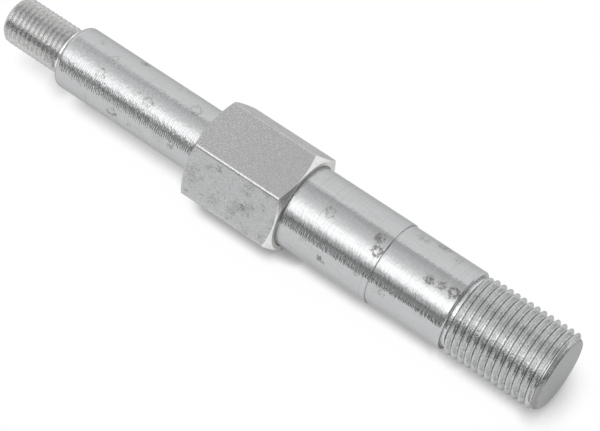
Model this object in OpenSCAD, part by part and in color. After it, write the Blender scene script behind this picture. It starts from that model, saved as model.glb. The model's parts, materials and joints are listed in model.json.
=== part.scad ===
// Shock mount stud: one piece turned from hexagon bar.
// The wide end bolts to a frame bracket, the narrow end carries the eye of the shock absorber.
// The axis lies along X with the wide end at +X. The origin is on the axis, in the plane of the
// hexagon's face on the wide side. A flat of the hexagon is underneath, as the stud lies.

/* [Hexagon] */
// Width across the flats
hex_af = 19.05; // [17:0.05:30]
// Length of the hexagon
hex_len = 20.3; // [10:0.1:40]
// Depth by which each long corner is blunt
hex_corner_cut = 0.1; // [0.02:0.01:0.6]
// Distance from the flats in to the ring left flat on each end face
hex_face_inset = 0.325; // [0.1:0.025:0.6]
// Slope of the end chamfers, in degrees from the end face
hex_chamfer_slope = 28; // [15:1:40]

/* [Wide end] */
// Diameter of the seat beside the hexagon
seat_d = 16.4; // [13:0.05:17]
// Length of the seat
seat_len = 19.6; // [5:0.1:60]
// Diameter of the plain body beyond the seat
body_d = 15.95; // [13:0.05:17]
// Length of the plain body
body_len = 15.7; // [3:0.1:60]
// Bevel on the last edge of the plain body
body_bevel = 0.3; // [0.05:0.05:0.4]

/* [Wide thread] */
// Diameter over the crests
wide_thread_d = 15.8; // [12:0.05:17]
// Pitch, 18 turns to the inch
wide_pitch = 1.411; // [1:0.001:2.1]
// Length from the plain body to the end face
wide_thread_len = 20.3; // [10:0.1:35]
// Radial size of the bevel at the end
wide_end_bevel = 1; // [0.9:0.05:1.6]

/* [Narrow shank] */
// Diameter of the shank that carries the eye
shank_d = 12.66; // [11:0.02:16]
// Length of the shank, up to its shoulder face
shank_len = 33.3; // [15:0.1:60]
// Rounding of the shoulder's edge
shank_round = 1.15; // [0.3:0.05:1.3]

/* [Narrow thread] */
// Diameter over the crests
narrow_thread_d = 9.44; // [7:0.02:10.5]
// Pitch, 24 turns to the inch
narrow_pitch = 1.058; // [0.7:0.001:1.5]
// Length from the shoulder face to the end
narrow_thread_len = 14; // [8:0.1:30]
// Length of the plain neck beside the shoulder
narrow_neck_len = 0.8; // [0.4:0.05:2]
// Depth of the neck under the thread's crests
narrow_neck_depth = 0.27; // [0.1:0.01:0.5]
// Radial size of the bevel at the end
narrow_end_bevel = 0.85; // [0.7:0.05:1.3]

/* [Thread form] */
// Angle between the flanks
flank_angle = 60; // [55:1:62]
// Width of the crest's land, as a share of the pitch
crest_share = 0.125; // [0.1:0.005:0.2]
// Width of the root, as a share of the pitch
root_share = 0.25; // [0.125:0.005:0.3]
// Width of the wide thread's runout groove, as a share of the pitch
runout_share = 0.55; // [0.5:0.01:0.9]
// Turn at which the wide thread's groove starts, in degrees
wide_start = 175; // [0:5:360]
// Turn at which the narrow thread's groove starts, in degrees
narrow_start = 50; // [0:5:360]

/* [Hidden] */

steel = [0.72, 0.73, 0.74];
round_fn = 96;
// Flat pieces in one turn of a thread's groove
turn_steps = 40;
// Share of a turn over which a groove reaches its full depth
lead_in = 0.25;
// How far a groove's cutter stands out of the crests, as a share of the pitch
cutter_rise = 0.07;
// Depth of the cutter's first section, as a share of its full depth
first_depth = 0.03;
// Axial length of an end bevel for each millimetre of its radial size
end_bevel_ratio = 1.15;
// How far the runout groove lies under the roots
runout_clear = 0.03;
// Axial length of the runout groove's sloping side, as a share of the groove's width
runout_side = 0.5;
// Flat pieces in the rounding of the shoulder's edge
round_steps = 6;
// The rounding takes at most this share of the shoulder's face
round_most = 0.9;

// Stations along the axis, from the narrow end to the wide end
shoulder_x = -hex_len - shank_len;
narrow_end_x = shoulder_x - narrow_thread_len;
body_x = seat_len;
wide_thread_x = body_x + body_len;
wide_end_x = wide_thread_x + wide_thread_len;

// Radius of the narrow thread's neck, and the rounding that the shoulder's face has room for
narrow_neck_r = narrow_thread_d / 2 - narrow_neck_depth;
shoulder_round = min(shank_round, round_most * (shank_d / 2 - narrow_neck_r));

function groove_depth(pitch) = (1 - crest_share - root_share) * pitch / 2 / tan(flank_angle / 2);
function root_r(thread_d, pitch) = thread_d / 2 - groove_depth(pitch);

// Rounded edge of the shoulder, from its face to the shank's wall
function shoulder_edge() = [
    for (i = [0:round_steps])
        let (turn = 90 * i / round_steps)
        [
            shank_d / 2 - shoulder_round * (1 - sin(turn)),
            shoulder_x + shoulder_round * (1 - cos(turn))
        ]
];

// Section of the groove's cutter at a share of its full depth: radius and place along the axis
function cutter_section(thread_d, pitch, share) =
    let (top = thread_d / 2 + cutter_rise * pitch)
    let (depth = (top - root_r(thread_d, pitch)) * share)
    let (root_half = root_share * pitch / 2)
    let (top_half = root_half + depth * tan(flank_angle / 2))
    [[top, -top_half], [top - depth, -root_half], [top - depth, root_half], [top, top_half]];

// Right-hand groove that starts at z = 0 and rises by one pitch a turn
module groove_cutter(thread_d, pitch, turns) {
    steps = ceil(turns * turn_steps);
    sections = [
        for (i = [0:steps])
            cutter_section(thread_d, pitch, min(1, first_depth + i / turn_steps / lead_in))
    ];
    points = [
        for (i = [0:steps], p = sections[i])
            let (turn = i * 360 / turn_steps)
            [p[0] * cos(turn), p[0] * sin(turn), p[1] + i * pitch / turn_steps]
    ];
    last = 4 * steps;
    faces = concat(
        [[0, 1, 2], [0, 2, 3], [last, last + 2, last + 1], [last, last + 3, last + 2]],
        [
            for (i = [0:steps - 1], k = [0:3])
                let (a = 4 * i + k)
                let (b = 4 * i + (k + 1) % 4)
                [a, a + 4, b]
        ],
        [
            for (i = [0:steps - 1], k = [0:3])
                let (a = 4 * i + k)
                let (b = 4 * i + (k + 1) % 4)
                [b, a + 4, b + 4]
        ]
    );
    polyhedron(points, faces, convexity = 12);
}

// Everything that is round, as one outline turned about the axis
module turned_body() {
    wide_bevel_len = wide_end_bevel * end_bevel_ratio;
    narrow_bevel_len = narrow_end_bevel * end_bevel_ratio;
    wide_runout = runout_share * wide_pitch;
    wide_runout_r = root_r(wide_thread_d, wide_pitch) - runout_clear;
    rotate_extrude($fn = round_fn)
        polygon([
            [0, narrow_end_x],
            [narrow_thread_d / 2 - narrow_end_bevel, narrow_end_x],
            [narrow_thread_d / 2, narrow_end_x + narrow_bevel_len],
            [narrow_thread_d / 2, shoulder_x - narrow_neck_len - narrow_neck_depth],
            [narrow_neck_r, shoulder_x - narrow_neck_len],
            [narrow_neck_r, shoulder_x],
            each shoulder_edge(),
            [shank_d / 2, -hex_len / 2],
            [seat_d / 2, -hex_len / 2],
            [seat_d / 2, body_x],
            [body_d / 2, body_x],
            [body_d / 2, wide_thread_x - body_bevel],
            [body_d / 2 - body_bevel, wide_thread_x],
            [wide_runout_r, wide_thread_x],
            [wide_runout_r, wide_thread_x + wide_runout],
            [wide_thread_d / 2, wide_thread_x + (1 + runout_side) * wide_runout],
            [wide_thread_d / 2, wide_end_x - wide_bevel_len],
            [wide_thread_d / 2 - wide_end_bevel, wide_end_x],
            [0, wide_end_x]
        ]);
}

// Hexagon bar with blunt corners and a turned chamfer at each end
module hexagon() {
    sharp_r = hex_af / 2 / cos(30);
    corner_r = sharp_r - hex_corner_cut;
    face_r = hex_af / 2 - hex_face_inset;
    chamfer_len = (corner_r - face_r) * tan(hex_chamfer_slope);
    intersection() {
        translate([0, 0, -hex_len])
            rotate([0, 0, 30])
                cylinder(h = hex_len, r = sharp_r, $fn = 6);
        rotate_extrude($fn = round_fn)
            polygon([
                [0, -hex_len],
                [face_r, -hex_len],
                [corner_r, chamfer_len - hex_len],
                [corner_r, -chamfer_len],
                [face_r, 0],
                [0, 0]
            ]);
    }
}

// Right-hand thread groove of the wide end, from its runout groove past the end face
module wide_thread_groove() {
    start_x = wide_thread_x + runout_share * wide_pitch / 2;
    turns = (wide_end_x - start_x) / wide_pitch + 1;
    translate([0, 0, start_x])
        rotate([0, 0, wide_start])
            groove_cutter(wide_thread_d, wide_pitch, turns);
}

// The narrow end's groove runs the other way along the axis from its neck, and is right-hand too
module narrow_thread_groove() {
    start_x = shoulder_x - narrow_neck_len;
    turns = (start_x - narrow_end_x) / narrow_pitch + 1;
    translate([0, 0, start_x])
        rotate([180, 0, narrow_start])
            groove_cutter(narrow_thread_d, narrow_pitch, turns);
}

module stud() {
    color(steel)
        rotate([0, 90, 0])
            difference() {
                union() {
                    turned_body();
                    hexagon();
                }
                wide_thread_groove();
                narrow_thread_groove();
            }
}

stud();
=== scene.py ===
import json
import math

import bpy
from mathutils import Matrix, Vector, noise


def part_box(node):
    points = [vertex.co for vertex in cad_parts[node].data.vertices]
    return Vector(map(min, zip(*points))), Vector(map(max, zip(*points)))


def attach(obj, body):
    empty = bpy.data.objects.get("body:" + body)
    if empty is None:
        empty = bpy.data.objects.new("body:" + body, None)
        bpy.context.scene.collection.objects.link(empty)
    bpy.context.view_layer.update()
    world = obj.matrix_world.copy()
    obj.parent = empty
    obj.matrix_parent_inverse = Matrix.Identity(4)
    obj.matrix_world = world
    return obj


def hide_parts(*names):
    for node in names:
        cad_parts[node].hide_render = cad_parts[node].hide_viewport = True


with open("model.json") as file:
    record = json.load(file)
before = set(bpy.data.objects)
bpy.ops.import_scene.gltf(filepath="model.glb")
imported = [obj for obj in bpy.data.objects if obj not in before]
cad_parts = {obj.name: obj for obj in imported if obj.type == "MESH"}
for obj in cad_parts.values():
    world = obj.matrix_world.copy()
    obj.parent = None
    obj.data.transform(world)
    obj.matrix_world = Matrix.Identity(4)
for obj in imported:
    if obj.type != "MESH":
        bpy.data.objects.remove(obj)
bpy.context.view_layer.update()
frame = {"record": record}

MM = 0.001


def mount_dims(name):
    """Sizes of one of the record's mounts, in millimetres."""
    return next(m["dims"] for m in frame["record"]["mounts"] if m["name"] == name)


# Main sizes in millimetres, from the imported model
box_low, box_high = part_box("stud")
NARROW_END = box_low.x / MM
WIDE_END = box_high.x / MM
FLAT_R = box_high.z / MM
CORNER_R = box_high.y / MM
SEAT_R = mount_dims("bracket_seat")["r_mm"]
BODY_R = mount_dims("bracket_body")["r_mm"]
WIDE_R = mount_dims("wide_thread")["r_mm"]
SHANK_R = mount_dims("shock_shank")["r_mm"]
NARROW_R = mount_dims("narrow_thread")["r_mm"]

# Stations along the axis and edge sizes in millimetres
HEX_LEN = 20.3
SHOULDER = -53.6
STEP = 19.6
BODY_END = 35.3
FACE_R = 9.2
CHAMFER_SLOPE = 28
NOSE_R = 1.15
NECK_LEN = 0.8
NECK_DEPTH = 0.27
BODY_BEVEL = 0.3
WIDE_BEVEL = 1.0
NARROW_BEVEL = 0.85
BEVEL_RATIO = 1.15
RELIEF_LEN = 0.2
RELIEF_DEPTH = 0.04
STEP_GROOVE_LEN = 0.14
STEP_GROOVE_DEPTH = 0.015

# Where the rows of two stretches meet, in millimetres: on the neck, on the end's bevel and in from
# the hexagon's face ring. A thread's rows stop RING_NEAR short of a ring, and CENTRE_R is the ring
# round an end face's middle
THREAD_JOIN = 0.3
ON_BEVEL = 0.2
SIDE_INSET = 0.2
RING_INSET = 0.3
RING_NEAR = 0.02
CENTRE_R = 0.3

# Threads: pitches in millimetres, and the turns at which the grooves start, in degrees from +Y
# towards +Z
WIDE_PITCH = 1.411
NARROW_PITCH = 1.058
WIDE_START = 85
NARROW_START = 320

# Thread form: shares of the pitch, and the angle of a flank in degrees
CREST_SHARE = 0.125
ROOT_SHARE = 0.25
RUNOUT_SHARE = 0.55
HALF_FLANK = 30

# Runout groove: the share of its width that slopes, and how far it lies under the roots in millimetres
RUNOUT_SIDE = 0.5
RUNOUT_CLEAR = 0.03

# Turns over which a groove gets its full depth, and the rounding of its edges as a share of a flank
LEAD_IN = 0.25
WIDE_ROUNDING = 0.1
NARROW_ROUNDING = 0.17

# Softness where a thread meets its neck or bevel, and the depth of the dents along its crests, in
# millimetres. The dents begin at a phase, and their scale is in dents to the millimetre
EDGE_SOFTNESS = 0.03
CREST_WEAR = 0.035
WEAR_FROM = 0.33
WEAR_SCALE = 1.3

# Columns round the stud: half a flat from its middle to its corner, in degrees
HALF_FLAT = [3.2, 6.4, 9.6, 12.8, 16.0, 19.2, 22.4, 25.6, 28.75, 29.09, 29.43]
BLUNT_FROM = 29.0
FLATS = 6

# Depth in millimetres to which the blunt corners' edges are rounded, and over how many degrees
CORNER_ROUND = 0.008
CORNER_SPREAD = 0.34

# Rows along a flat, steps in a rounded corner and in the shoulder's edge, and the distance from a
# rounded corner to its supporting points in millimetres
FLAT_ROWS = 12
ARC_STEPS = 3
NOSE_STEPS = 8
SUPPORT = 0.1


def column_angles():
    """Each column's angle from +Y towards +Z, starting at a corner, and its angle from its flat."""
    offsets = [-30.0] + [-a for a in reversed(HALF_FLAT)] + [0.0] + HALF_FLAT
    return [(60 * k + 30 + a, a) for k in range(FLATS) for a in offsets]


COLUMNS = column_angles()
COUNT = len(COLUMNS)

# Zones of the skin, in the order of the piece's material slots
TURNED, FLAT, EDGE, FACE, WIDE_SKIN, NARROW_SKIN, END = range(7)


class Shell:
    """Vertices and faces of the stud's skin while it is being built."""

    def __init__(self):
        self.points = []
        self.faces = []
        self.zones = []

    def point(self, x, r, column):
        angle = math.radians(COLUMNS[column % COUNT][0])
        self.points.append((x * MM, r * math.cos(angle) * MM, r * math.sin(angle) * MM))
        return len(self.points) - 1

    def ring(self, row):
        """One ring of vertices, from a list with the place and the radius of each column."""
        return [self.point(x, r, i) for i, (x, r) in enumerate(row)]

    def face(self, corners, zone):
        kept = [c for i, c in enumerate(corners) if c != corners[i - 1]]
        if len(set(kept)) > 2:
            self.faces.append(kept)
            self.zones.append(zone)

    def bridge(self, low, high, zone):
        """Faces between two rings. On the flats, those at the blunt corners are a zone of their own."""
        for i in range(COUNT):
            j = (i + 1) % COUNT
            blunt = abs(COLUMNS[i][1]) > BLUNT_FROM and abs(COLUMNS[j][1]) > BLUNT_FROM
            self.face([low[i], low[j], high[j], high[i]], EDGE if zone == FLAT and blunt else zone)

    def rows(self, first, rows, zone):
        """Rings one after the other, joined to the first. Returns the last ring."""
        for row in rows:
            ring = self.ring(row)
            if first is not None:
                self.bridge(first, ring, zone)
            first = ring
        return first

    def fan(self, ring, x, zone, outward):
        """Closes a ring with a point on the axis."""
        tip = self.point(x, 0, 0)
        for i in range(COUNT):
            j = (i + 1) % COUNT
            corners = [ring[i], ring[j], tip] if outward > 0 else [ring[j], ring[i], tip]
            self.face(corners, zone)


def toward(a, b, length):
    """The point at a length from a towards b."""
    share = length / math.dist(a, b)
    return (a[0] + (b[0] - a[0]) * share, a[1] + (b[1] - a[1]) * share)


def rounded_corner(before, corner, after, radius):
    """Arc that replaces a corner of an outline, with a supporting point on each side."""
    a = toward(corner, before, 1)
    b = toward(corner, after, 1)
    into = (a[0] - corner[0], a[1] - corner[1])
    out = (b[0] - corner[0], b[1] - corner[1])
    half = math.acos(max(-1, min(1, into[0] * out[0] + into[1] * out[1]))) / 2
    room = 0.45 * min(math.dist(corner, before), math.dist(corner, after))
    reach = min(radius / math.tan(half), 0.6 * room)
    radius = reach * math.tan(half)
    middle = (into[0] + out[0], into[1] + out[1])
    size = math.hypot(*middle)
    centre = [corner[k] + middle[k] / size * radius / math.sin(half) for k in (0, 1)]
    start = math.atan2(corner[1] + into[1] * reach - centre[1], corner[0] + into[0] * reach - centre[0])
    end = math.atan2(corner[1] + out[1] * reach - centre[1], corner[0] + out[0] * reach - centre[0])
    sweep = (end - start + math.pi) % (2 * math.pi) - math.pi
    far = min(reach + SUPPORT, room)
    points = [toward(corner, before, far)]
    for step in range(ARC_STEPS + 1):
        angle = start + sweep * step / ARC_STEPS
        points.append((centre[0] + radius * math.cos(angle), centre[1] + radius * math.sin(angle)))
    points.append(toward(corner, after, far))
    return points


def softened(outline):
    """Outline of (x, r, rounding) corners with the middle ones rounded.

    A rounding of None keeps the point.
    """
    points = [outline[0][:2]]
    for i in range(1, len(outline) - 1):
        x, r, rounding = outline[i]
        if rounding is None:
            points.append((x, r))
        else:
            points += rounded_corner(outline[i - 1][:2], (x, r), outline[i + 1][:2], rounding)
    points.append(outline[-1][:2])
    return points


def turned(outline):
    """Rows of a part that is round: the same softened outline in every column."""
    return [[point] * COUNT for point in softened(outline)]


def hex_radius(offset):
    """Radius of the hexagon at an angle from the middle of a flat, with a blunt, softened corner."""
    radius = min(FLAT_R / math.cos(math.radians(offset)), CORNER_R)
    edge = math.degrees(math.acos(FLAT_R / CORNER_R))
    near = max(0, 1 - abs(abs(offset) - edge) / CORNER_SPREAD)
    return radius - CORNER_ROUND * near


def hex_outline(offset):
    """Outline of the hexagon's side at one column, from the narrow face to the wide face."""
    radius = hex_radius(offset)
    chamfer = (radius - FACE_R) * math.tan(math.radians(CHAMFER_SLOPE))
    flat = HEX_LEN - 2 * chamfer
    between = [(-HEX_LEN + chamfer + flat * k / FLAT_ROWS, radius, None) for k in range(1, FLAT_ROWS)]
    return softened(
        [(-HEX_LEN, FACE_R - SIDE_INSET), (-HEX_LEN, FACE_R, 0.06), (-HEX_LEN + chamfer, radius, 0.08)]
        + between
        + [(-chamfer, radius, 0.08), (0, FACE_R, 0.06), (0, FACE_R - SIDE_INSET)]
    )


def hexagon_rows():
    """Rows of the hexagon's side, and the number of the first and last row on its flats."""
    columns = [hex_outline(offset) for angle, offset in COLUMNS]
    rows = [list(row) for row in zip(*columns)]
    side = ARC_STEPS + 3
    return rows, 1 + side + ARC_STEPS + 1, len(rows) - 1 - side - ARC_STEPS - 1


def soft_max(a, b, width):
    gap = a - b
    if gap >= width:
        return a
    if gap <= -width:
        return b
    return b + (gap + width) ** 2 / (4 * width)


def soft_min(a, b, width):
    return -soft_max(-a, -b, width)


def soft_ramp(value, width):
    """Clamps a value to 0..1 with rounded corners."""
    return soft_max(value, 0, width) - soft_max(value - 1, 0, width)


def half_phases(steps):
    """Phases of one pitch, from the steps of its half: root, flank and crest."""
    return [-0.5] + [-s for s in reversed(steps)] + [0.0] + list(steps)


class Thread:
    """A right-hand thread. way is +1 if its end is at +X and -1 if it is at -X."""

    def __init__(self, radius, pitch, way, end, shoulder, bevel):
        self.radius = radius
        self.pitch = pitch
        self.way = way
        self.end = end
        self.shoulder = shoulder
        self.bevel = bevel
        self.depth = (1 - CREST_SHARE - ROOT_SHARE) * pitch / 2 / math.tan(math.radians(HALF_FLANK))

    def groove_from(self, x, angle, rounding, phases):
        """Where the groove begins, how worn its edges are, and the rows that one pitch has."""
        self.groove_x = x
        self.groove_turn = angle / 360
        self.rounding = rounding
        self.phases = phases

    def neck(self, radius, length):
        """The plain stretch between the shoulder and the thread."""
        self.neck_r = radius
        self.neck_end = self.shoulder + self.way * length

    def limit(self, x):
        """Radius that the neck and the end's bevel leave at a place on the axis."""
        past_neck = self.way * (x - self.neck_end)
        slope = (self.radius - self.neck_r) / (RUNOUT_SHARE * RUNOUT_SIDE * self.pitch)
        from_end = self.way * (self.end - x)
        return min(
            self.neck_r + max(0, past_neck) * slope,
            self.radius - self.bevel + from_end / BEVEL_RATIO,
        )

    def groove(self, phase):
        """Share of the full depth at a phase: 0 is the groove's middle and 0.5 is the crest's."""
        flank = (abs(phase) - ROOT_SHARE / 2) / (0.5 - CREST_SHARE / 2 - ROOT_SHARE / 2)
        return 1 - soft_ramp(flank, self.rounding)

    def wear(self, x, phase, turn):
        """Small dents along the crest."""
        angle = 2 * math.pi * turn
        spot = Vector((x, self.radius * math.cos(angle), self.radius * math.sin(angle)))
        crest = max(0, abs(phase) - WEAR_FROM) / (0.5 - WEAR_FROM)
        return CREST_WEAR * crest * max(0, noise.noise(spot * WEAR_SCALE))

    def surface(self, x, phase, turns):
        lead = max(0, min(1, turns / LEAD_IN))
        r = self.radius - self.depth * self.groove(phase) * lead - self.wear(x, phase, turns)
        return soft_min(r, self.limit(x), EDGE_SOFTNESS)

    def place(self, column, row):
        """Place along the axis, phase and turns since the groove's start of a helical row."""
        turn, k = divmod(row, len(self.phases))
        start = turn + COLUMNS[column][0] / 360 - self.groove_turn
        phase = self.phases[k]
        return self.groove_x + self.pitch * (start + phase), phase, self.way * start


WIDE_THREAD = Thread(WIDE_R, WIDE_PITCH, 1, WIDE_END, BODY_END, WIDE_BEVEL)
WIDE_THREAD.groove_from(
    BODY_END + RUNOUT_SHARE * WIDE_PITCH / 2, WIDE_START, WIDE_ROUNDING,
    half_phases([0.1, 0.125, 0.16, 0.24, 0.33, 0.405, 0.4375, 0.465]),
)
WIDE_THREAD.neck(WIDE_R - WIDE_THREAD.depth - RUNOUT_CLEAR, RUNOUT_SHARE * WIDE_THREAD.pitch)
NARROW_THREAD = Thread(NARROW_R, NARROW_PITCH, -1, NARROW_END, SHOULDER, NARROW_BEVEL)
NARROW_THREAD.groove_from(
    SHOULDER - NECK_LEN, NARROW_START, NARROW_ROUNDING,
    half_phases([0.1, 0.14, 0.2, 0.28, 0.36, 0.42, 0.455]),
)
NARROW_THREAD.neck(NARROW_R - NECK_DEPTH, NECK_LEN)


def thread_skin(shell, thread, low, high, x_low, x_high, zone):
    """Rows that follow the helix between two plain rings, cut short where they reach a ring."""
    made = {}
    per_turn = len(thread.phases)

    def vertex(column, row):
        if column == COUNT:
            column = 0
            row += per_turn
        x, phase, turns = thread.place(column, row)
        if x <= x_low + RING_NEAR:
            return low[column]
        if x >= x_high - RING_NEAR:
            return high[column]
        if (column, row) not in made:
            made[column, row] = shell.point(x, thread.surface(x, phase, turns), column)
        return made[column, row]

    first = math.floor((x_low - thread.groove_x) / thread.pitch - 2) * per_turn
    last = math.ceil((x_high - thread.groove_x) / thread.pitch + 2) * per_turn
    for column in range(COUNT):
        for row in range(first, last):
            corners = [
                vertex(column, row),
                vertex(column + 1, row),
                vertex(column + 1, row + 1),
                vertex(column, row + 1),
            ]
            shell.face(corners, zone)


def narrow_end(shell):
    """The narrow end face up to the place on its bevel where the thread begins."""
    face_r = NARROW_R - NARROW_BEVEL
    on_bevel = (NARROW_END + ON_BEVEL, face_r + ON_BEVEL / BEVEL_RATIO)
    outline = [(NARROW_END, CENTRE_R), (NARROW_END, face_r, 0.12), on_bevel]
    rows = turned(outline)
    ring = shell.rows(None, rows[:1], END)
    shell.fan(ring, NARROW_END, END, -1)
    return shell.rows(ring, rows[1:], END)


def nose():
    """The shoulder's rounded edge, from its face to the shank."""
    points = []
    for step in range(NOSE_STEPS + 1):
        angle = math.radians(90 - 90 * step / NOSE_STEPS)
        x = SHOULDER + NOSE_R * (1 - math.sin(angle))
        points.append((x, SHANK_R - NOSE_R * (1 - math.cos(angle)), None))
    return points


def shank_outline():
    """From the narrow thread's neck to the hexagon's face."""
    neck_r = NARROW_THREAD.neck_r
    return [(SHOULDER - THREAD_JOIN, neck_r), (SHOULDER, neck_r, 0.12)] + nose() + [
        (SHOULDER + NOSE_R + SUPPORT, SHANK_R, None),
        (-HEX_LEN, SHANK_R, 0.1),
        (-HEX_LEN, FACE_R - RING_INSET),
    ]


def seat_outline():
    """From the hexagon's face on the wide side, with a fine relief groove, to the groove at the step."""
    relief_r = SEAT_R - RELIEF_DEPTH
    groove_r = BODY_R - STEP_GROOVE_DEPTH
    return [
        (0, FACE_R - RING_INSET),
        (0, relief_r, 0.05),
        (RELIEF_LEN - RELIEF_DEPTH, relief_r, 0.06),
        (RELIEF_LEN, SEAT_R, 0.05),
        (STEP, SEAT_R, 0.06),
        (STEP, groove_r, 0.04),
        (STEP + STEP_GROOVE_LEN - STEP_GROOVE_DEPTH, groove_r, 0.05),
        (STEP + STEP_GROOVE_LEN, BODY_R, 0.05),
        (BODY_END - BODY_BEVEL, BODY_R, 0.1),
        (BODY_END, BODY_R - BODY_BEVEL, 0.08),
        (BODY_END, WIDE_THREAD.neck_r, 0.08),
        (BODY_END + THREAD_JOIN, WIDE_THREAD.neck_r),
    ]


def middle(shell):
    """Shoulder, shank, hexagon, seat and plain body. Returns the first and the last ring."""
    shank = turned(shank_outline())
    first = shell.rows(None, shank[:1], TURNED)
    ring = shell.rows(first, shank[1:], TURNED)
    rows, flat_from, flat_to = hexagon_rows()
    ring = shell.rows(ring, rows[:flat_from], FACE)
    ring = shell.rows(ring, rows[flat_from:flat_to], FLAT)
    ring = shell.rows(ring, rows[flat_to:], FACE)
    wide = turned(seat_outline())
    ring = shell.rows(ring, wide[:2], FACE)
    return first, shell.rows(ring, wide[2:], TURNED)


def wide_end(shell):
    """The wide end face, from the place on its bevel where the thread ends."""
    face_r = WIDE_R - WIDE_BEVEL
    on_bevel = (WIDE_END - ON_BEVEL, face_r + ON_BEVEL / BEVEL_RATIO)
    rows = turned([on_bevel, (WIDE_END, face_r, 0.15), (WIDE_END, CENTRE_R)])
    first = shell.rows(None, rows[:1], END)
    last = shell.rows(first, rows[1:], END)
    shell.fan(last, WIDE_END, END, 1)
    return first


def turned_stud():
    """The whole stud as one closed skin."""
    shell = Shell()
    low = narrow_end(shell)
    high, wide_start = middle(shell)
    x_low, x_high = NARROW_END + ON_BEVEL, SHOULDER - THREAD_JOIN
    thread_skin(shell, NARROW_THREAD, low, high, x_low, x_high, NARROW_SKIN)
    end_ring = wide_end(shell)
    x_low, x_high = BODY_END + THREAD_JOIN, WIDE_END - ON_BEVEL
    thread_skin(shell, WIDE_THREAD, wide_start, end_ring, x_low, x_high, WIDE_SKIN)
    mesh = bpy.data.meshes.new("turned_stud")
    mesh.from_pydata(shell.points, [], shell.faces)
    mesh.validate()
    for polygon, zone in zip(mesh.polygons, shell.zones):
        polygon.material_index = zone
        polygon.use_smooth = True
    piece = bpy.data.objects.new("turned_stud", mesh)
    bpy.context.scene.collection.objects.link(piece)
    return piece


class Graph:
    """Short calls that add nodes to one node tree and return their output sockets."""

    def __init__(self, tree):
        self.tree = tree
        tree.nodes.clear()

    def node(self, kind, inputs=None, **settings):
        node = self.tree.nodes.new(kind)
        for name, value in settings.items():
            setattr(node, name, value)
        for key, value in (inputs or {}).items():
            self.feed(node.inputs[key], value)
        return node

    def feed(self, socket, value):
        if isinstance(value, bpy.types.NodeSocket):
            self.tree.links.new(value, socket)
        else:
            socket.default_value = value

    def math(self, operation, *values):
        node = self.node("ShaderNodeMath", dict(enumerate(values)), operation=operation)
        return node.outputs[0]

    def vector(self, operation, *values):
        node = self.node("ShaderNodeVectorMath", dict(enumerate(values)), operation=operation)
        return node.outputs["Value" if operation in ("DISTANCE", "LENGTH") else "Vector"]

    def axes(self, vector):
        """The X, Y and Z outputs of a vector."""
        return self.node("ShaderNodeSeparateXYZ", {0: vector}).outputs

    def noise(self, vector, scale, detail=2.0, roughness=0.5):
        inputs = {"Vector": vector, "Scale": scale, "Detail": detail, "Roughness": roughness}
        return self.node("ShaderNodeTexNoise", inputs).outputs["Fac"]

    def blend(self, value, low, high, to_low=0.0, to_high=1.0):
        """Smooth change from to_low to to_high while the value goes from low to high."""
        inputs = {0: value, 1: low, 2: high, 3: to_low, 4: to_high}
        node = self.node("ShaderNodeMapRange", inputs, interpolation_type="SMOOTHSTEP")
        return node.outputs[0]

    def mix(self, factor, first, second, blend_type="MIX"):
        node = self.node("ShaderNodeMix", data_type="RGBA", blend_type=blend_type)
        self.feed(node.inputs[0], factor)
        self.feed(node.inputs[6], first)
        self.feed(node.inputs[7], second)
        return node.outputs[2]

    def ramp(self, value, stops):
        """Strength along (place, strength) stops, where the first place is 0 and the last is 1."""
        node = self.node("ShaderNodeValToRGB", {0: value})
        ramp = node.color_ramp
        while len(ramp.elements) > 1:
            ramp.elements.remove(ramp.elements[-1])
        for i, (place, strength) in enumerate(stops):
            element = ramp.elements[0] if i == 0 else ramp.elements.new(place)
            element.position = place
            element.color = (strength, strength, strength, 1)
        return node.outputs[0]


def surface_point(x, tilt):
    """Point in millimetres on the stud's skin at an angle from +Z towards -Y."""
    if x < SHOULDER:
        r = NARROW_R
    elif x < -HEX_LEN:
        r = SHANK_R
    elif x < 0:
        r = hex_radius((tilt + 30) % 60 - 30)
    elif x < STEP:
        r = SEAT_R
    else:
        r = BODY_R
    angle = math.radians(tilt)
    return (x, -r * math.sin(angle), r * math.cos(angle))


# Stains on the plate: place along the axis, angle from +Z towards -Y, radius, darkness, and whether
# it is a ring
SHANK_STAINS = [
    (-48.1, -27, 0.9, 0.55, False),
    (-43.9, -12, 0.8, 0.5, True),
    (-39.6, -43, 1.3, 0.65, False),
    (-37.2, -28, 0.6, 0.45, False),
    (-44.3, 23, 1.1, 0.55, True),
    (-36.6, 16, 0.9, 0.45, True),
    (-33.5, 20, 1.2, 0.6, True),
    (-39.5, 74, 1.1, 0.7, True),
    (-35.2, 77, 0.6, 0.6, False),
    (-29.2, -42, 0.6, 0.5, False),
    (-25.3, -14, 1.4, 0.55, True),
    (-28.3, 68, 0.7, 0.55, False),
    (-25.8, 64, 1.2, 0.55, False),
]
WIDE_STAINS = [
    (7.4, 11, 1.2, 0.6, True),
    (5.5, 59, 1.0, 0.5, False),
    (2.6, 62, 0.8, 0.4, False),
    (9.6, 71, 0.9, 0.95, False),
    (10.4, 75, 0.7, 0.8, False),
    (16.9, 57, 1.0, 0.55, False),
    (17.5, 4, 1.5, 0.85, False),
    (18.4, 20, 1.2, 0.95, True),
    (25.0, 44, 0.6, 0.5, False),
    (29.0, 14, 1.5, 0.95, False),
    (31.4, 10, 1.4, 0.75, False),
    (33.8, 10, 1.25, 1.0, True),
    (23.2, -36, 2.0, 0.5, False),
    (26.9, -47, 2.2, 0.6, False),
    (30.5, -38, 1.8, 0.45, False),
    (22.5, 63, 1.4, 0.5, False),
]
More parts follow.
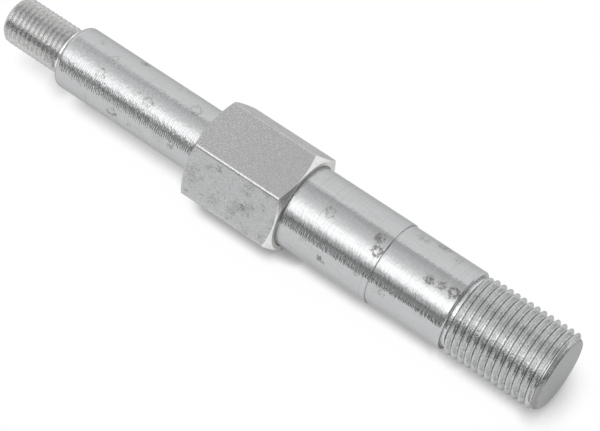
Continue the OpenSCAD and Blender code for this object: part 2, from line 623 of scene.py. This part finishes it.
FLAT_STAINS = [
    (-13.6, 38, 1.3, 0.6, False),
    (-17.8, 52, 1.6, 0.42, False),
    (-13.2, 76, 1.9, 0.5, False),
    (-6.9, 62, 0.9, 0.7, False),
    (-5.7, 66, 1.2, 0.55, False),
    (-8.8, 75, 1.7, 0.5, False),
    (-3.5, 32, 1.2, 0.55, False),
    (-10.1, 27, 0.9, 0.4, False),
]

# Dirt and painted shade in the turned part's corners: place along the axis, half width, darkness
CORNER_DIRT_AND_SHADE = [
    (0.05, 0.12, 0.75),
    (STEP + 0.06, 0.16, 0.7),
    (BODY_END - 0.1, 0.42, 0.6),
]
# How far towards -Y it is thickest, in millimetres
DARKEST_SIDE = 2.9

# How far the stains' edges are torn, in millimetres each way
TORN = 0.9


def stains(graph, place, spots):
    """Density of the stains, from 0 on clean plate to 1. They are mottled and have torn edges."""
    inputs = {"Vector": place, "Scale": 1.5, "Detail": 3.0}
    wobble = graph.node("ShaderNodeTexNoise", inputs).outputs["Color"]
    shift = graph.vector("MULTIPLY_ADD", wobble, (2 * TORN,) * 3, (-TORN,) * 3)
    warped = graph.vector("ADD", place, shift)
    total = 0.0
    for x, tilt, radius, darkness, ring in spots:
        distance = graph.vector("DISTANCE", warped, surface_point(x, tilt))
        if ring:
            distance = graph.math("ABSOLUTE", graph.math("SUBTRACT", distance, 0.7 * radius))
            mask = graph.blend(distance, 0.1 * radius, 0.5 * radius, darkness, 0.0)
        else:
            mask = graph.blend(distance, 0.35 * radius, 1.15 * radius, darkness, 0.0)
        total = graph.math("MAXIMUM", total, mask)
    return graph.math("MULTIPLY", total, graph.blend(graph.noise(place, 1.9, 3.0), 0.34, 0.58, 0.5, 1.0))


def corner_dirt_and_shade(graph, place, lines):
    """Density of corner dirt and painted shade, broken up round the axis and thickest towards -Y."""
    split = graph.axes(place)
    total = 0.0
    for centre, half, darkness in lines:
        off = graph.math("ABSOLUTE", graph.math("SUBTRACT", split["X"], centre))
        total = graph.math("MAXIMUM", total, graph.blend(off, 0.4 * half, half, darkness, 0.0))
    away = graph.math("ABSOLUTE", graph.math("ADD", split["Y"], DARKEST_SIDE))
    total = graph.math("MULTIPLY", total, graph.blend(away, 2.2, 4.4, 1.0, 0.1))
    return graph.math("MULTIPLY", total, graph.blend(graph.noise(place, 0.35), 0.38, 0.6, 0.5, 1.0))


def speckled(graph, place, density):
    """Mask of fine specks, thicker where the density is higher and almost none where it is 0."""
    level = graph.math("MULTIPLY_ADD", density, 0.49, graph.noise(place, 5.2, 3.0, 0.75))
    share = graph.math("MULTIPLY_ADD", density, 0.58, 0.28)
    return graph.math("MULTIPLY", graph.blend(level, 0.66, 0.82), share)


PLATE = (0.537, 0.545, 0.55, 1)
MATT = (0.527, 0.529, 0.525, 1)
# Ring and chamfer colours, far lighter than the plate: painted light
RING_PAINTED_LIGHT = (0.8, 0.8, 0.79, 1)
CHAMFER_PAINTED_LIGHT = (0.82, 0.82, 0.81, 1)
CORNER = (0.56, 0.56, 0.555, 1)
# The wide thread's colour, lighter than the plate: painted light
FLANK = (0.63, 0.64, 0.645, 1)
# Colour of the flank that faces -X, far lighter than the plate: painted light
FLANK_PAINTED_LIGHT = (0.84, 0.845, 0.845, 1)
# The narrow thread's colour, lighter than the plate: painted light
NARROW_THREAD_PAINTED_LIGHT = (0.61, 0.61, 0.606, 1)
# Colour of the narrow thread's neck, far lighter than the plate: painted light
NECK_PAINTED_LIGHT = (0.93, 0.935, 0.935, 1)
DIRT = (0.15, 0.14, 0.13, 1)
EDGE_TINT = (0.62, 0.62, 0.62, 1)


def plated(name, build):
    """A material whose shader is fed by build(graph, place, shader), where place is in millimetres."""
    material = bpy.data.materials.new(name)
    material.use_nodes = True
    graph = Graph(material.node_tree)
    coordinates = graph.node("ShaderNodeTexCoord").outputs["Object"]
    place = graph.vector("MULTIPLY", coordinates, (1 / MM, 1 / MM, 1 / MM))
    shader = graph.node("ShaderNodeBsdfPrincipled")
    shader.inputs["Metallic"].default_value = 1.0
    shader.inputs["Specular Tint"].default_value = EDGE_TINT
    output = graph.node("ShaderNodeOutputMaterial")
    graph.feed(output.inputs["Surface"], shader.outputs[0])
    build(graph, place, shader.inputs)
    return material


def bump(graph, height, distance, normal=None):
    """Normal that follows a height of 0 to 1, where 1 stands for a distance in millimetres."""
    node = graph.node("ShaderNodeBump", {"Height": height, "Distance": distance * MM})
    if normal is not None:
        graph.feed(node.inputs["Normal"], normal)
    return node.outputs[0]


def toned(graph, colour, value, low, high):
    """A colour made darker or lighter by a noise value."""
    tone = graph.blend(value, 0.3, 0.7, low, high)
    grey = graph.node("ShaderNodeCombineColor", {0: tone, 1: tone, 2: tone}).outputs[0]
    return graph.mix(1.0, colour, grey, "MULTIPLY")


def drawn_out(graph, place, along, around, detail=3.0):
    """Noise with its own scale along the axis and round it: a low scale draws it out."""
    return graph.noise(graph.vector("MULTIPLY", place, (along, around, around)), 1.0, detail, 0.6)


RIPPLE = 0.42


def turned_steel(graph, place, shader):
    """Round surfaces: bright, with a tool's ripple on the shank, fine turning lines and stains."""
    x = graph.axes(place)["X"]
    on_shank = graph.blend(x, -21.0, -20.0, 1.0, 0.0)
    density = stains(graph, place, SHANK_STAINS + WIDE_STAINS)
    # Dark lines of dirt and painted shade in the corners
    density = graph.math("MAXIMUM", density, corner_dirt_and_shade(graph, place, CORNER_DIRT_AND_SHADE))
    density = graph.math("MAXIMUM", density, graph.blend(graph.noise(place, 0.3, 3.0), 0.5, 0.7, 0.0, 0.32))
    scratches = graph.blend(drawn_out(graph, place, 3.0, 0.03, 2.0), 0.62, 0.67, 0.0, 0.13)
    mask = graph.math("MAXIMUM", speckled(graph, place, density), scratches)
    sway = graph.math("MULTIPLY", drawn_out(graph, place, 0.8, 0.25), 5.0)
    wave = graph.math("SINE", graph.math("MULTIPLY_ADD", x, 2 * math.pi / RIPPLE, sway))
    ripple = graph.math("MULTIPLY", wave, on_shank)
    tone = graph.math("MULTIPLY_ADD", ripple, 0.2, drawn_out(graph, place, 0.25, 2.6))
    plate = toned(graph, PLATE, tone, 0.955, 1.025)
    graph.feed(shader["Base Color"], graph.mix(mask, plate, DIRT))
    lines = drawn_out(graph, place, 3.6, 0.15, 4.0)
    rough = graph.math("MULTIPLY_ADD", on_shank, 0.03, graph.blend(lines, 0.38, 0.65, 0.09, 0.18))
    graph.feed(shader["Roughness"], graph.math("MULTIPLY_ADD", mask, 0.3, rough))
    fine = graph.math("MULTIPLY", drawn_out(graph, place, 3.6, 0.75, 1.5), 0.6)
    coarse = graph.math("MULTIPLY", drawn_out(graph, place, 3.0, 1.2, 1.5), 0.85)
    normal = bump(graph, graph.mix(on_shank, fine, coarse), 0.1)
    normal = bump(graph, lines, 0.03, normal)
    graph.feed(shader["Normal"], bump(graph, ripple, 0.007, normal))


def rolled_flat(graph, place, shader):
    """The hexagon's flats: matt and sandy, with more specks on the sloping ones."""
    split = graph.axes(place)
    sideways = graph.math("ABSOLUTE", split["Y"])
    corner_y = CORNER_R / 2
    sloping = graph.blend(sideways, corner_y - 0.05, corner_y + 0.05)
    cloud = graph.blend(graph.noise(place, 0.4, 4.0, 0.6), 0.42, 0.66, 0.16, 0.5)
    below_corner = graph.math("ABSOLUTE", graph.math("SUBTRACT", sideways, corner_y + 0.17))
    cloudy = graph.math("MULTIPLY", cloud, sloping)
    density = graph.math("MAXIMUM", stains(graph, place, FLAT_STAINS), cloudy)
    # A dark line just below each blunt corner: painted dark reflection
    density = graph.math("MAXIMUM", density, graph.blend(below_corner, 0.05, 0.18, 0.6, 0.0))
    smears = graph.blend(graph.noise(place, 0.8, 4.0, 0.7), 0.5, 0.66, 0.0, 0.19)
    smears = graph.math("MULTIPLY", smears, graph.blend(graph.noise(place, 0.2), 0.42, 0.58, 0.2, 1.0))
    mask = graph.math("MAXIMUM", speckled(graph, place, density), graph.math("MULTIPLY", smears, sloping))
    sand = graph.noise(place, 6.0, 1.0, 0.5)
    glint = graph.blend(split["X"], -HEX_LEN, -4.0, 0.56, 0.36)
    sparkle = graph.math("MULTIPLY_ADD", graph.blend(sand, 0.53, 0.68), glint, 0.91)
    sparkle = graph.mix(sloping, sparkle, graph.blend(sand, 0.35, 0.65, 0.98, 1.18))
    plate = graph.mix(1.0, graph.mix(sloping, MATT, PLATE), sparkle, "MULTIPLY")
    graph.feed(shader["Base Color"], graph.mix(mask, plate, DIRT))
    shader["Roughness"].default_value = 0.26
    graph.feed(shader["Normal"], bump(graph, sand, 0.05))


def worn_edge(graph, place, shader):
    """The hexagon's blunt corners, rubbed bright."""
    nicks = graph.noise(place, 1.6, 4.0, 0.65)
    mask = speckled(graph, place, graph.blend(nicks, 0.5, 0.65, 0.1, 0.5))
    graph.feed(shader["Base Color"], graph.mix(mask, toned(graph, CORNER, nicks, 0.8, 1.2), DIRT))
    shader["Roughness"].default_value = 0.22
    graph.feed(shader["Normal"], bump(graph, nicks, 0.06))


def faced_ring(graph, place, shader):
    """The rings and chamfers at the hexagon's ends, painted lighter as painted light, with dirt and painted
    shade in the corner at their foot.
    """
    split = graph.axes(place)
    flat_place = graph.vector("MULTIPLY", place, (0.0, 1.0, 1.0))
    foot = graph.blend(split["X"], -HEX_LEN / 2 - 1, -HEX_LEN / 2 + 1, SHANK_R, SEAT_R)
    radius = graph.vector("LENGTH", flat_place)
    off = graph.math("SUBTRACT", radius, foot)
    # A dark line of dirt and painted shade at the rings' foot
    mask = speckled(graph, place, graph.blend(off, 0.12, 0.4, 0.95, 0.0))
    turning = graph.noise(graph.vector("MULTIPLY", place, (3.0, 0.6, 0.6)), 1.0, 4.0, 0.65)
    on_chamfer = graph.blend(radius, FACE_R - 0.02, FACE_R + 0.08)
    # Ring and chamfer are lighter than the plate: painted light
    steel = graph.mix(on_chamfer, RING_PAINTED_LIGHT, CHAMFER_PAINTED_LIGHT)
    graph.feed(shader["Base Color"], graph.mix(mask, toned(graph, steel, turning, 0.93, 1.07), DIRT))
    graph.feed(shader["Roughness"], graph.math("MULTIPLY_ADD", on_chamfer, -0.21, 0.45))
    graph.feed(shader["Normal"], bump(graph, turning, 0.012))


def thread_phase(graph, place, thread):
    """Phase of a thread's groove at a point, from -0.5 to 0.5, with 0 in the groove's middle."""
    split = graph.axes(place)
    turn = graph.math("MULTIPLY", graph.math("ARCTAN2", split["Z"], split["Y"]), 0.5 / math.pi)
    start = thread.groove_turn - thread.groove_x / thread.pitch
    along = graph.math("MULTIPLY_ADD", split["X"], 1 / thread.pitch, start)
    return graph.math("WRAP", graph.math("SUBTRACT", along, turn), 0.5, -0.5)


# Dirt over one pitch: phase and density. The flank from -0.44 to -0.12 faces +X.
THREAD_DIRT = [
    (-0.5, 0.25), (-0.44, 0.22), (-0.4, 0.1), (-0.36, 0.0), (-0.18, 0.0), (-0.11, 0.45), (0.11, 0.45),
    (0.18, 0.06), (0.36, 0.1), (0.42, 0.22), (0.455, 0.25), (0.5, 0.25),
]

# Where the flank that faces -X is painted lighter, as painted light: phase and share
FLANK_PAINTED_LIGHT_SHARE = [(-0.5, 0.0), (0.1, 0.0), (0.15, 1.0), (0.37, 1.0), (0.43, 0.0), (0.5, 0.0)]

# Roughness of both necks, and of each thread
NECK_ROUGHNESS = 0.14
WIDE_ROUGHNESS = 0.18
NARROW_ROUGHNESS = 0.19

# Dirt and painted shade on a thread's end bevel: thickest on the -Y side, thin on the +Y side and least
# between them
BEVEL_DIRT_AND_SHADE_THICK = 0.66
BEVEL_DIRT_AND_SHADE_LEAST = 0.02
BEVEL_DIRT_AND_SHADE_THIN = 0.3


def thread_steel(thread, steel, neck, rough):
    """Builder for a thread's material.

    The neck and the flank that faces -X are painted lighter than the plate: painted light. Dirt lies
    on the crests and in the roots, and dirt and painted shade lie on the end's bevel.
    """

    def build(graph, place, shader):
        split = graph.axes(place)
        x = split["X"]
        past_neck = graph.math("MULTIPLY", graph.math("SUBTRACT", x, thread.neck_end), thread.way)
        cut = graph.blend(past_neck, -0.1, 0.15)
        phase = thread_phase(graph, place, thread)
        broken = graph.blend(graph.noise(place, 1.6, 4.0, 0.65), 0.36, 0.6, 0.25, 1.0)
        stray = graph.math("MULTIPLY_ADD", graph.noise(place, 1.2, 2.0), 0.08, 0.46)
        dirt = graph.ramp(graph.math("ADD", phase, stray), [(p + 0.5, d) for p, d in THREAD_DIRT])
        from_end = graph.math("ABSOLUTE", graph.math("SUBTRACT", x, thread.end))
        on_bevel = graph.blend(from_end, 0.7 * thread.bevel, 1.2 * thread.bevel, 1.0, 0.0)
        # Dirt and painted shade on the end's bevel
        thick = graph.blend(split["Y"], -5.6, -3.8, BEVEL_DIRT_AND_SHADE_THICK, BEVEL_DIRT_AND_SHADE_LEAST)
        thick = graph.math("MAXIMUM", thick, graph.blend(split["Y"], 1.5, 5.0, 0.0, BEVEL_DIRT_AND_SHADE_THIN))
        mask = graph.math("MULTIPLY", graph.math("MULTIPLY", dirt, broken), cut)
        mask = graph.math("MAXIMUM", mask, graph.math("MULTIPLY", on_bevel, thick))
        patches = graph.noise(place, 2.4, 4.0, 0.8)
        # The flank that faces -X is painted lighter: painted light
        painted_light_share = graph.ramp(graph.math("ADD", phase, 0.5), [(p + 0.5, share) for p, share in FLANK_PAINTED_LIGHT_SHARE])
        flanks = graph.mix(painted_light_share, toned(graph, steel, patches, 0.82, 1.14), FLANK_PAINTED_LIGHT)
        steels = graph.mix(cut, neck, flanks)
        graph.feed(shader["Base Color"], graph.mix(mask, steels, DIRT))
        roughness = graph.math("MULTIPLY_ADD", cut, rough - NECK_ROUGHNESS, NECK_ROUGHNESS)
        graph.feed(shader["Roughness"], roughness)
        grain = drawn_out(graph, place, 3.4, 2.0, 1.5)
        graph.feed(shader["Normal"], bump(graph, grain, 0.06))

    return build


# Density of the dirt on the end faces and on the wide one's rim, and the width of that rim
FACE_DIRT = 0.05
RIM_DIRT = 0.55
RIM_WIDTH = 0.1


def faced_end(graph, place, shader):
    """End faces, with a dark line round the wide one's rim."""
    flat_place = graph.vector("MULTIPLY", place, (0.0, 1.0, 1.0))
    radius = graph.vector("LENGTH", flat_place)
    face_r = WIDE_R - WIDE_BEVEL
    rim = graph.blend(radius, face_r - RIM_WIDTH, face_r, FACE_DIRT, RIM_DIRT)
    grain = graph.noise(place, 2.0, 4.0, 0.6)
    plate = toned(graph, PLATE, grain, 0.89, 0.97)
    graph.feed(shader["Base Color"], graph.mix(speckled(graph, place, rim), plate, DIRT))
    shader["Roughness"].default_value = 0.3
    graph.feed(shader["Normal"], bump(graph, grain, 0.02))


# Camera, fitted to the photograph: angles in degrees, lengths in millimetres
AZIMUTH = 40.37
ELEVATION = 61.44
ROLL = -3.31
DISTANCE = 425.4
LENS = 142.54
AIM_X = -0.72
AIM_UP = -2.09


def camera():
    azimuth = math.radians(AZIMUTH)
    elevation = math.radians(ELEVATION)
    back = Vector((
        math.sin(azimuth) * math.cos(elevation),
        -math.cos(azimuth) * math.cos(elevation),
        math.sin(elevation),
    ))
    right = Vector((math.cos(azimuth), math.sin(azimuth), 0))
    up = back.cross(right)
    roll = math.radians(ROLL)
    rolled_right = right * math.cos(roll) + up * math.sin(roll)
    rolled_up = up * math.cos(roll) - right * math.sin(roll)
    place = Vector((AIM_X, 0, 0)) + rolled_up * AIM_UP + back * DISTANCE
    data = bpy.data.cameras.new("camera")
    data.lens = LENS
    data.sensor_fit = "HORIZONTAL"
    data.sensor_width = 36
    data.clip_start = 0.01
    thing = bpy.data.objects.new("camera", data)
    turn = Matrix((rolled_right, rolled_up, back)).transposed().to_4x4()
    thing.matrix_world = Matrix.Translation(place * MM) @ turn
    bpy.context.scene.collection.objects.link(thing)
    bpy.context.scene.camera = thing


# Light round the X axis: angle from +Z towards -Y, and the strength there
FILL = [
    (-180, 1.0), (-90, 1.0), (-42, 1.06), (-36, 0.63), (-30, 0.62), (-24, 0.69), (-11, 0.84),
    (0, 0.96), (11, 1.0), (180, 1.0),
]
STRIP = [
    (-180, 0.0), (0, 0.0), (11, 0.18), (17, 0.44), (23, 0.72), (29, 0.86), (39, 0.88), (45, 0.74),
    (50, 0.32), (54, 0.0), (180, 0.0),
]
GAP = [
    (-180, 1.0), (47, 1.0), (56, 0.68), (63, 0.56), (65.5, 0.09), (70, 0.09), (73, 0.36), (180, 0.37),
]
SEAT_GAP = [
    (-180, 1.0), (50, 1.0), (57, 0.7), (62.5, 0.6), (65.5, 0.37), (70, 0.35), (75, 0.38), (81, 0.28),
    (87, 0.12), (180, 0.12),
]
GAP_FOOT = [(-180, 0.0), (88.5, 0.0), (100, 1.0), (180, 1.0)]

# How the light changes along X, where places are the X of a direction, from -1 to 1.
# The strip grows brighter towards +X, and then fades out
STRIP_CENTRE = -0.29
STRIP_LEAN = 1.3
STRIP_FADE = (0.0, 0.3)

# The gap turns into the seat's gap, and its foot leans over a short range below FOOT_FROM
GAP_TURNS = (-0.37, -0.31)
FOOT_FROM = -0.285
FOOT_RANGE = 0.12
FOOT_LEAN = 145 / 360

# The fill has no valley far out towards -X, and all light is dimmer towards +X
PLAIN_FILL = (-0.62, -0.5)
DIM_RANGE = (0.4, 0.75)
DIM_LIGHT = 0.45


def studio():
    """A plain studio as the world: fill light, a long soft strip above one side and a dim gap below it.

    The camera itself sees plain white there.
    """
    world = bpy.data.worlds.new("studio")
    world.use_nodes = True
    bpy.context.scene.world = world
    graph = Graph(world.node_tree)
    split = graph.axes(graph.node("ShaderNodeTexCoord").outputs["Generated"])
    sideways = graph.math("MULTIPLY", split["Y"], -1.0)
    angle = graph.math("ARCTAN2", sideways, split["Z"])
    share = graph.math("MULTIPLY_ADD", angle, 0.5 / math.pi, 0.5)

    def strength(value, stops):
        return graph.ramp(value, [(0.5 + a / 360, v) for a, v in stops])

    x = split["X"]
    fill = graph.mix(graph.blend(x, *PLAIN_FILL, 1.0, 0.0), strength(share, FILL), (1, 1, 1, 1))
    lean = graph.math("MULTIPLY_ADD", x, STRIP_LEAN, 1 - STRIP_LEAN * STRIP_CENTRE)
    window = graph.math("MULTIPLY", lean, graph.blend(x, *STRIP_FADE, 1.0, 0.0))
    strip = graph.math("MULTIPLY", strength(share, STRIP), window)
    off = graph.math("MAXIMUM", graph.math("SUBTRACT", x, FOOT_FROM), -FOOT_RANGE)
    off = graph.math("MINIMUM", off, 0.0)
    lowered = graph.math("MULTIPLY_ADD", off, -FOOT_LEAN, share)
    gap = graph.mix(graph.blend(x, *GAP_TURNS), strength(share, GAP), strength(share, SEAT_GAP))
    gap = graph.math("MAXIMUM", gap, strength(lowered, GAP_FOOT))
    light = graph.math("MULTIPLY", graph.math("ADD", fill, strip), gap)
    light = graph.math("MULTIPLY", light, graph.blend(x, *DIM_RANGE, 1.0, DIM_LIGHT))
    seen = graph.node("ShaderNodeLightPath").outputs["Is Camera Ray"]
    background = graph.node("ShaderNodeBackground", {"Color": graph.mix(seen, light, (1, 1, 1, 1))})
    output = graph.node("ShaderNodeOutputWorld")
    graph.feed(output.inputs["Surface"], background.outputs[0])


FLOOR_SIZE = 1.5
FLOOR_COLOUR = (0.95, 0.95, 0.95, 1)
FLOOR_GLOW = 0.93

# How far the painted soft shadow reaches under the narrow side and under the wide side, and how
# much further under the narrow thread, under the wide thread and at the wide end, in millimetres
NARROW_REACH = 5.7
WIDE_REACH = 4.4
NARROW_THREAD_REACH = 1.6
WIDE_THREAD_REACH = 0.7
END_REACH = 3.2

# Share of the sky that is open where the glow is least and where it is full, and the glow there
SKY_COVERED = 0.4
SKY_OPEN = 0.88
GLOW_LEAST = 0.3
GLOW_MOST = 1.02
SKY_SAMPLES = 16


def floor():
    """A white table that glows as a light table does, with a painted shadow where the stud stands over it.
    """
    half = FLOOR_SIZE / 2
    level = box_low.z
    mesh = bpy.data.meshes.new("table")
    corners = [(-half, -half, level), (half, -half, level), (half, half, level), (-half, half, level)]
    mesh.from_pydata(corners, [], [(0, 1, 2, 3)])
    thing = bpy.data.objects.new("table", mesh)
    bpy.context.scene.collection.objects.link(thing)
    material = bpy.data.materials.new("white_table")
    material.use_nodes = True
    graph = Graph(material.node_tree)
    path = graph.node("ShaderNodeLightPath")
    seen = graph.math("MAXIMUM", path.outputs["Is Camera Ray"], path.outputs["Is Glossy Ray"])
    seen = graph.math("MAXIMUM", seen, path.outputs["Is Transmission Ray"])
    x = graph.axes(graph.node("ShaderNodeTexCoord").outputs["Object"])["X"]
    hexagon = -HEX_LEN * MM
    reach = graph.blend(x, 1.15 * hexagon, hexagon, NARROW_REACH * MM, WIDE_REACH * MM)
    for start, end, at_start, at_end in (
        (SHOULDER - 2, SHOULDER + 2, NARROW_THREAD_REACH, 0.0),
        (BODY_END - 4, BODY_END + 4, 0.0, WIDE_THREAD_REACH),
        (WIDE_END - 5, WIDE_END + 3, 0.0, END_REACH),
    ):
        further = graph.blend(x, start * MM, end * MM, at_start * MM, at_end * MM)
        reach = graph.math("ADD", reach, further)
    sky = graph.node("ShaderNodeAmbientOcclusion", {"Distance": reach}, samples=SKY_SAMPLES)
    diffuse = graph.node("ShaderNodeBsdfDiffuse", {"Color": FLOOR_COLOUR})
    # Less glow where the sky is covered: the painted shadow
    glow = graph.blend(sky.outputs["AO"], SKY_COVERED, SKY_OPEN, GLOW_LEAST, GLOW_MOST)
    white = graph.node("ShaderNodeEmission", {"Strength": glow})
    share = graph.math("MULTIPLY", seen, FLOOR_GLOW)
    mixed = graph.node("ShaderNodeMixShader", {0: share, 1: diffuse.outputs[0], 2: white.outputs[0]})
    output = graph.node("ShaderNodeOutputMaterial")
    graph.feed(output.inputs["Surface"], mixed.outputs[0])
    mesh.materials.append(material)


bpy.context.scene.view_settings.view_transform = "Standard"
camera()
studio()
floor()

stud = turned_stud()
stud.data.materials.append(plated("turned_steel", turned_steel))
stud.data.materials.append(plated("rolled_flat", rolled_flat))
stud.data.materials.append(plated("worn_edge", worn_edge))
stud.data.materials.append(plated("faced_ring", faced_ring))
wide_steel = thread_steel(WIDE_THREAD, FLANK, FLANK, WIDE_ROUGHNESS)
narrow_steel = thread_steel(NARROW_THREAD, NARROW_THREAD_PAINTED_LIGHT, NECK_PAINTED_LIGHT, NARROW_ROUGHNESS)
stud.data.materials.append(plated("wide_thread_steel", wide_steel))
stud.data.materials.append(plated("narrow_thread_steel", narrow_steel))
stud.data.materials.append(plated("faced_end", faced_end))
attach(stud, "root")
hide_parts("stud")
